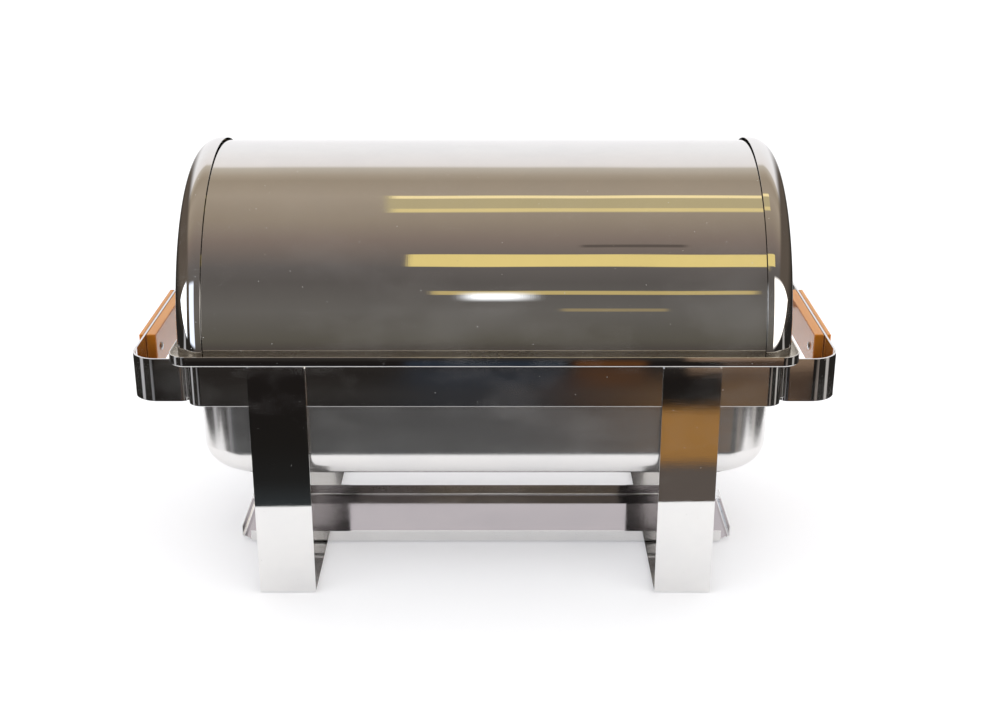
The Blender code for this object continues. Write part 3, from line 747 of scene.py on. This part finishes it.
def make_end_caps():
    """Half drums: a rounded shoulder and end panel turned about the pivot, with a short skirt."""
    shoulder_x = COVER_HALF_X - SHOULDER
    hollow_r = COVER_RADIUS - SHOULDER
    step = math.radians(5)
    outer = [(LIP_INNER_X, COVER_RADIUS)]
    outer += arc((shoulder_x, hollow_r), SHOULDER, math.pi / 2, 0, step)
    outer.append((COVER_HALF_X, 0))
    inner = [(COVER_HALF_X - SHEET, 0)]
    inner += arc((shoulder_x, hollow_r), SHOULDER - SHEET, 0, math.pi / 2, step)
    inner.append((LIP_INNER_X, COVER_RADIUS - SHEET))
    profile = outer + inner
    around = 90
    for side_name, side in SIDES:
        sections = []
        for i in range(around + 1):
            y, z = math.cos(math.pi * i / around), math.sin(math.pi * i / around)
            sections.append([Vector((side * x, r * y, r * z)) for x, r in profile])
        drop = Vector((0, 0, -SKIRT))
        sections.insert(0, [point + drop for point in sections[0]])
        sections.append([point + drop for point in sections[-1]])
        bm = sweep(sections, skip=len(outer) - 1)
        bmesh.ops.translate(bm, verts=bm.verts, vec=PIVOT)
        cap = make_object("end_cap_" + side_name, bm)
        hole = (side * (COVER_HALF_X - 3 * SHEET), side * (COVER_HALF_X + SHEET))
        drill(cap, "X", *hole, PIVOT, HOLE_RADIUS)
        finish_piece(cap, "mirror_sheet", "cover", ["end_housing_" + side_name], 0.0002)


def make_rear_cover():
    centre_line = REAR_RADIUS - SHEET / 2
    path = arc((0, 0), centre_line, REAR_EDGE, math.pi, math.radians(1.5)) + [(-centre_line, -SKIRT)]
    bm = wavy_sheet(path, SHEET, REAR_HALF_X, 48)
    add_piece("rear_cover", bm, "mirror_sheet", "cover", ["rear_sheet"], PIVOT, 0.0002)


def make_door_cover():
    path = arc((0, 0), DOOR_RADIUS - SHEET / 2, DOOR_FROM, DOOR_TO, math.radians(1.5))
    bm = wavy_sheet(path, SHEET, DOOR_HALF_X, 48)
    bmesh.ops.translate(bm, verts=bm.verts, vec=PIVOT)
    door = make_object("door_cover", bm)
    for side in (-1, 1):
        hole = turned("Y", ((DOOR_RADIUS - 3 * SHEET, SCREW_HOLE), (DOOR_RADIUS + SHEET, SCREW_HOLE)), 24)
        bmesh.ops.translate(hole, verts=hole.verts,
                            vec=Vector((side * (DOOR_HANDLE_HALF_X - DOOR_RIVET_INSET), 0, 0)))
        tilt_to_door(hole)
        cut(door, hole)
    finish_piece(door, "mirror_sheet", "door", ["door_sheet"], 0.0002)


def tilt_to_door(bm):
    """Turns a shape built flat at the pivot up to the door handle's angle."""
    bmesh.ops.rotate(bm, verts=bm.verts, cent=Vector(), matrix=Matrix.Rotation(DOOR_HANDLE_TILT, 3, "X"))
    bmesh.ops.translate(bm, verts=bm.verts, vec=PIVOT)


def make_door_sides():
    """Flat quadrant plates from the door's ends down to the pivot."""
    lean = math.asin(HUB_RADIUS / DOOR_RADIUS)
    outline = arc((0, 0), DOOR_RADIUS, -lean, DOOR_TO + lean, math.radians(2))
    outline += arc((0, 0), HUB_RADIUS, DOOR_TO + math.pi / 2, math.pi * 1.5, math.radians(10))
    for side_name, side in SIDES:
        faces = (side * QUADRANT_IN, side * QUADRANT_OUT)
        bm = sweep([[Vector((x, y, z)) for y, z in outline] for x in faces])
        bmesh.ops.translate(bm, verts=bm.verts, vec=PIVOT)
        plate = make_object("door_side_" + side_name, bm)
        drill(plate, "X", faces[0] - side * SHEET, faces[1] + side * SHEET, PIVOT, HOLE_RADIUS)
        finish_piece(plate, "satin", "door", ["door_quadrant_" + side_name], 0.0002)


def make_pivots():
    for side_name, side in SIDES:
        node = "pivot_pin_" + side_name
        near, far = near_x(node), far_x(node)
        radius = half_size(node).z
        head = PIN_HEAD
        stations = [(near, radius * 0.7), (near + head * 0.15, radius * 0.85),
                    (near + head * 0.3, radius), (near + head, radius),
                    (near + head, PIN_RADIUS), (far - head, PIN_RADIUS)]
        stations += domed_head(far - head, 1, radius, head)[1:]
        bm = turned("X", [(side * x, r) for x, r in stations])
        add_piece("pivot_pin_" + side_name + "_piece", bm, "fastener", "cover", [node], PIVOT, 0.0001, 1)
        node = "pivot_spacer_" + side_name
        near, far, radius = near_x(node), far_x(node), half_size(node).z
        tube = ((near, radius), (far, radius), (far, HOLE_RADIUS), (near, HOLE_RADIUS))
        rings = []
        for x, r in tube:
            turns = [2 * math.pi * i / 40 for i in range(40)]
            rings.append([Vector((side * x, r * math.cos(t), r * math.sin(t))) for t in turns])
        add_piece("pivot_spacer_" + side_name + "_piece", sweep(rings, closed=True), "fastener", "cover",
                  [node], PIVOT, 0.0002, 1)


def make_bumpers():
    for side_name in ("left", "right"):
        for state in ("shut", "open"):
            node = f"bumper_{state}_{side_name}"
            low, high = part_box(node)
            add_piece(f"bumper_block_{state}_{side_name}", block(low, high), "rubber", "cover", [node],
                      edge=0.0007, segments=3)


def make_door_handle():
    flange_y = DOOR_RADIUS + GAP + DOOR_STRAP / 2
    out_y = DOOR_RADIUS + DOOR_HANDLE_REACH - DOOR_STRAP / 2
    run_x = DOOR_HANDLE_HALF_X - DOOR_STRAP / 2
    flange_x = DOOR_HANDLE_HALF_X - DOOR_HANDLE_FLANGE
    corners = [(-flange_x, flange_y), (-run_x, flange_y), (-run_x, out_y),
               (run_x, out_y), (run_x, flange_y), (flange_x, flange_y)]
    bends = [DOOR_FOOT_BEND, DOOR_HANDLE_BEND, DOOR_HANDLE_BEND, DOOR_FOOT_BEND]
    half = DOOR_HANDLE_HALF_HEIGHT
    bm = strap(rounded_path(corners, bends), DOOR_STRAP, -half, half, at_side(1), HANDLE_END_ROUND)
    tilt_to_door(bm)
    handle = make_object("door_handle", bm)
    outer_low = DOOR_RADIUS + DOOR_HANDLE_REACH + GAP
    inner_high = DOOR_RADIUS + DOOR_HANDLE_REACH - DOOR_STRAP - GAP
    spans = {"inner": (inner_high - DOOR_INNER_GRIP, inner_high),
             "outer": (outer_low, outer_low + OUTER_GRIP)}
    pads = []
    for layer, (low, high) in spans.items():
        pad = block((-DOOR_GRIP_HALF, low, -half), (DOOR_GRIP_HALF, high, half))
        tilt_to_door(pad)
        pads.append((make_object("door_pad_" + layer, pad), layer))
    low, high = spans["inner"][0], spans["outer"][1]
    for side_name, side in SIDES:
        x = side * DOOR_SCREW_X
        for obj in [handle] + [pad for pad, layer in pads]:
            drill_tilted(obj, x, low - STRAP, high + STRAP)
        make_tilted_fastener("door_grip_screw_" + side_name, x, low, high, SCREW_HEAD)
    for side_name, side in SIDES:
        x = side * (DOOR_HANDLE_HALF_X - DOOR_RIVET_INSET)
        low, high = DOOR_RADIUS - SHEET, DOOR_RADIUS + GAP + DOOR_STRAP
        drill_tilted(handle, x, low - STRAP, high + STRAP)
        make_tilted_fastener("door_rivet_" + side_name, x, low, high, RIVET_HEAD)
    finish_piece(handle, "mirror", "door", ["door_handle_strap"])
    for pad, layer in pads:
        finish_piece(pad, "amber", "door", ["door_grip_" + layer], 0.001, 3)


def drill_tilted(obj, x, low, high):
    hole = turned("Y", ((low, SCREW_HOLE), (high, SCREW_HOLE)), 24)
    bmesh.ops.translate(hole, verts=hole.verts, vec=Vector((x, 0, 0)))
    tilt_to_door(hole)
    cut(obj, hole)


def make_tilted_fastener(node, x, low, high, head):
    bm = two_headed("Y", low - GAP - head, high + GAP + head, DOOR_FASTENER_RADIUS, head)
    bmesh.ops.translate(bm, verts=bm.verts, vec=Vector((x, 0, 0)))
    tilt_to_door(bm)
    add_piece(node + "_piece", bm, "fastener", "door", [node], edge=0.00008, segments=1)


# Fuel tray

def make_fuel_tray():
    """A floor with cut corners whose four sides are bent up into flanges."""
    low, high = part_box("fuel_tray")
    size = half_size("fuel_tray")
    corner = TRAY_CHAMFER
    tray = make_object("burner_tray", tray_channel(size.y, size.x - corner, low.z, high.z, "X"))
    join_shape(tray, tray_channel(size.x, size.y - corner, low.z, high.z, "Y"))
    x, y = size.x - TRAY_BEND, size.y - TRAY_BEND
    outline = [(x, y - corner), (x - corner, y), (corner - x, y), (-x, y - corner),
               (-x, corner - y), (corner - x, -y), (x - corner, -y), (x, corner - y)]
    floor = [[Vector((px, py, z)) for px, py in outline] for z in (low.z, low.z + TRAY_WALL)]
    join_shape(tray, sweep(floor))
    tray.data.transform(Matrix.Translation(CENTRE))
    finish_piece(tray, "mirror", "tray", ["fuel_tray"], 0.0003)
    tray.data.materials.append(MATERIALS["tray_floor"])
    # The tray floor's upper faces take the darker copy of the steel; the rest of the tray stays mirror
    for face in tray.data.polygons:
        if face.normal.z > 0.99 and face.center.z < low.z + 2 * TRAY_WALL:
            face.material_index = 1


def tray_channel(reach, half_length, low, high, axis):
    """A channel with two upturned flanges, reach to each side of the axis it runs along."""
    out, floor = reach - TRAY_WALL / 2, low + TRAY_WALL / 2
    path = rounded_path([(-out, high), (-out, floor), (out, floor), (out, high)], [TRAY_BEND] * 2)
    if axis == "X":
        return strap(path, TRAY_WALL, -half_length, half_length, lambda v, w, u: Vector((u, v, w)))
    return strap(path, TRAY_WALL, -half_length, half_length, lambda v, w, u: Vector((v, u, w)))


# Studio

CAMERA_PLACE = (0.01506, -1.46129, 0.73677)  # from the dish's middle on the floor
CAMERA_TILT = math.radians(69.608)
CAMERA_LENS = 52.412
SENSOR_WIDTH = 36
FLOOR_FRONT = -0.3695  # from the dish's middle to where the floor that shows in the steel begins
FLOOR_SLANT = -0.0266
FLOOR_REACH = 6.0
FLOOR_NEAR = 0.62  # half the width, and the reach behind, of the floor that shows in the steel
DAYLIGHT = (1.2, 1.2, 1.2, 1)
BACKDROP = (0.995, 0.995, 1.0, 1)
DIM_SIDES = (0.125, 0.10, 0.08, 1)  # the room well to the left and right
DARK_CORNERS = (0.022, 0.020, 0.018, 1)  # the same, below the level of the dish

# What polished steel sees of the room, by degrees round the X axis: 0 is level on the serving
# side, 90 overhead, 180 level towards the front.
ROOM = (
    (0, (1.05, 1.04, 1.06)),
    (30, (1.03, 1.02, 1.03)),
    (50, (0.97, 0.93, 0.92)),
    (54, (0.93, 0.88, 0.85)),
    (56, (0.62, 0.56, 0.48)),
    (65, (0.46, 0.386, 0.30)),
    (70, (0.40, 0.33, 0.25)),
    (85, (0.445, 0.37, 0.288)),
    (105, (0.358, 0.292, 0.224)),
    (120, (0.265, 0.209, 0.177)),
    (140, (0.15, 0.135, 0.127)),
    (150, (0.127, 0.115, 0.107)),
    (170, (0.155, 0.145, 0.133)),
    (190, (0.12, 0.11, 0.09)),
    (197, (0.085, 0.073, 0.065)),
    (200.7, (0.070, 0.064, 0.058)),
    (200.9, (0.013, 0.011, 0.010)),
    (205.2, (0.014, 0.013, 0.012)),
    (206.2, (0.045, 0.053, 0.058)),
    (230, (0.05, 0.05, 0.05)),
    (268, (0.05, 0.05, 0.05)),
    (275, (1.0, 1.0, 1.0)),
    (359, (1.05, 1.05, 1.05)),
)

# Lamps and coloured things in the room: from and to across X, from and to round X in
# degrees, colour.
LAMPS = (
    (-0.078, 0.24, 84.0, 98.6, (0.56, 0.47, 0.27)),
    (-0.074, 0.24, 84.2, 86.6, (1.14, 0.93, 0.50)),
    (-0.074, 0.24, 95.2, 98.0, (0.87, 0.70, 0.33)),
    (0.055, 0.128, 123.5, 125.5, (0.13, 0.105, 0.09)),
    (-0.061, 0.34, 130.6, 139.2, (0.92, 0.73, 0.28)),
    (-0.048, 0.170, 155.8, 158.4, (0.62, 0.48, 0.20)),
    (0.041, 0.112, 168.0, 170.0, (0.35, 0.28, 0.16)),
    (0.128, 0.24, 200.3, 200.85, (0.36, 0.24, 0.16)),
    (-0.065, 0.045, 200.9, 203.0, (0.026, 0.034, 0.048)),
    (0.052, 0.100, 200.9, 202.6, (0.11, 0.045, 0.016)),
    (0.152, 0.22, 200.9, 202.6, (0.070, 0.045, 0.032)),
    (0.105, 0.20, 202.45, 204.6, (0.37, 0.19, 0.06)),
    (0.105, 0.20, 204.6, 207.5, (0.12, 0.10, 0.088)),
)
LAMP_BLUR = (0.003, 0.25)

# Softboxes, in the same terms
SOFTBOXES = (
    (-0.022, 0.018, 157.6, 161.8, (1.9, 1.95, 2.0)),
    (-0.62, -0.28, 150.0, 195.0, (1.2, 1.3, 1.5)),
    (-1.10, -0.80, 146.0, 197.0, (2.4, 2.5, 2.7)),
    (0.28, 1.10, 147.0, 195.0, (2.3, 2.2, 2.1)),
    (-0.58, -0.44, 203.0, 222.0, (0.22, 0.22, 0.23)),
    (-0.94, -0.88, 200.0, 260.0, (0.50, 0.50, 0.52)),
    (0.42, 0.58, 203.0, 222.0, (0.22, 0.19, 0.17)),
    (0.88, 0.94, 200.0, 260.0, (0.50, 0.48, 0.46)),
)
SOFTBOX_BLUR = (0.012, 2.0)


def room_ramp(tree, turn):
    ramp = add_node(tree, "ValToRGB", {"Fac": turn})
    stops = ramp.color_ramp.elements
    while len(stops) < len(ROOM):
        stops.new(0.5)
    for stop, (degrees, colour) in zip(stops, ROOM):
        stop.position = degrees / 360
        stop.color = (*colour, 1)
    return ramp.outputs["Color"]


def pulse(tree, value, low, high, blur):
    """1 between low and high, with soft ends."""
    rise = smooth_spread(tree, value, low - blur, low + blur)
    fall = smooth_spread(tree, value, high - blur, high + blur, 1.0, 0.0)
    return combine(tree, "MULTIPLY", rise, fall)


def make_world():
    world = bpy.data.worlds.new("studio")
    bpy.context.scene.world = world
    world.use_nodes = True
    tree = world.node_tree
    way = add_node(tree, "SeparateXYZ", {0: add_node(tree, "TexCoord").outputs["Generated"]})
    angle = combine(tree, "ARCTAN2", way.outputs["Z"], way.outputs["Y"])
    turn = add_node(tree, "Math", {0: combine(tree, "DIVIDE", angle, 2 * math.pi)}, operation="FRACT")
    sideways = add_node(tree, "Math", {0: way.outputs["X"]}, operation="ABSOLUTE").outputs["Value"]
    raised = combine(tree, "MAXIMUM", way.outputs["Z"], 0.0)
    aside = combine(tree, "SUBTRACT", sideways, combine(tree, "MULTIPLY", raised, 0.6))
    dim = smooth_spread(tree, aside, 0.26, 0.52)
    height = spread(tree, way.outputs["Z"], -0.2, 0.12, 0.0, 1.0)
    beside = add_node(tree, "MixRGB", {0: height, 1: DARK_CORNERS, 2: DIM_SIDES}).outputs[0]
    ahead = room_ramp(tree, turn.outputs["Value"])
    colour = add_node(tree, "MixRGB", {0: dim, 1: ahead, 2: beside}).outputs[0]
    for lamps, (blur_x, blur_turn) in ((LAMPS, LAMP_BLUR), (SOFTBOXES, SOFTBOX_BLUR)):
        for x_low, x_high, low, high, lamp in lamps:
            across = pulse(tree, way.outputs["X"], x_low, x_high, blur_x)
            around = pulse(tree, turn.outputs["Value"], low / 360, high / 360, blur_turn / 360)
            shown = combine(tree, "MULTIPLY", across, around)
            colour = add_node(tree, "MixRGB", {0: shown, 1: colour, 2: (*lamp, 1)}).outputs[0]
    ray = add_node(tree, "LightPath")
    plain = add_node(tree, "MixRGB", {0: ray.outputs["Is Diffuse Ray"], 1: colour, 2: DAYLIGHT})
    seen = add_node(tree, "MixRGB", {0: ray.outputs["Is Camera Ray"], 1: plain.outputs[0], 2: BACKDROP})
    tree.links.new(seen.outputs[0], tree.nodes["Background"].inputs["Color"])


def make_floor():
    material, _, shader = new_material("pale_floor")
    shader.inputs["Base Color"].default_value = (0.94, 0.94, 0.945, 1)
    shader.inputs["Roughness"].default_value = 0.9
    shader.inputs["Specular IOR Level"].default_value = 0.1
    shader.inputs["Emission Color"].default_value = (0.9, 0.92, 1.0, 1)
    shader.inputs["Emission Strength"].default_value = 0.15
    far, near, back = FLOOR_REACH, FLOOR_NEAR, CENTRE.y + FLOOR_NEAR
    far_left, left, right, far_right = [(x, CENTRE.y + FLOOR_FRONT + x * FLOOR_SLANT)
                                        for x in (-far, -near, near, far)]
    under_dish = [(left, right, (near, back), (-near, back))]
    around = [((-far, -far), (far, -far), far_right, right, left, far_left),
              (far_left, left, (-near, back), (-far, back)),
              (right, far_right, (far, back), (near, back)),
              ((-far, back), (-near, back), (near, back), (far, back), (far, far), (-far, far))]
    for name, outlines in (("floor", under_dish), ("floor_around", around)):
        bm = bmesh.new()
        for outline in outlines:
            bm.faces.new([bm.verts.new((x, y, 0)) for x, y in outline])
        floor = make_object(name, bm)
        floor.data.materials.append(material)
    bpy.data.objects["floor_around"].visible_glossy = False


def make_camera():
    camera = bpy.data.cameras.new("camera")
    camera.lens = CAMERA_LENS
    camera.sensor_width = SENSOR_WIDTH
    viewer = bpy.data.objects.new("camera", camera)
    bpy.context.scene.collection.objects.link(viewer)
    viewer.location = CENTRE + Vector(CAMERA_PLACE)
    viewer.rotation_euler = (CAMERA_TILT, 0, 0)
    bpy.context.scene.camera = viewer


def main():
    make_materials()
    make_camera()
    make_band()
    make_legs()
    make_side_handles()
    make_x_fasteners()
    make_water_pan()
    make_food_pan()
    make_cover_frame()
    make_end_caps()
    make_rear_cover()
    make_door_cover()
    make_door_sides()
    make_pivots()
    make_bumpers()
    make_door_handle()
    make_fuel_tray()
    make_world()
    make_floor()
    bpy.context.scene.view_settings.view_transform = "Standard"


main()
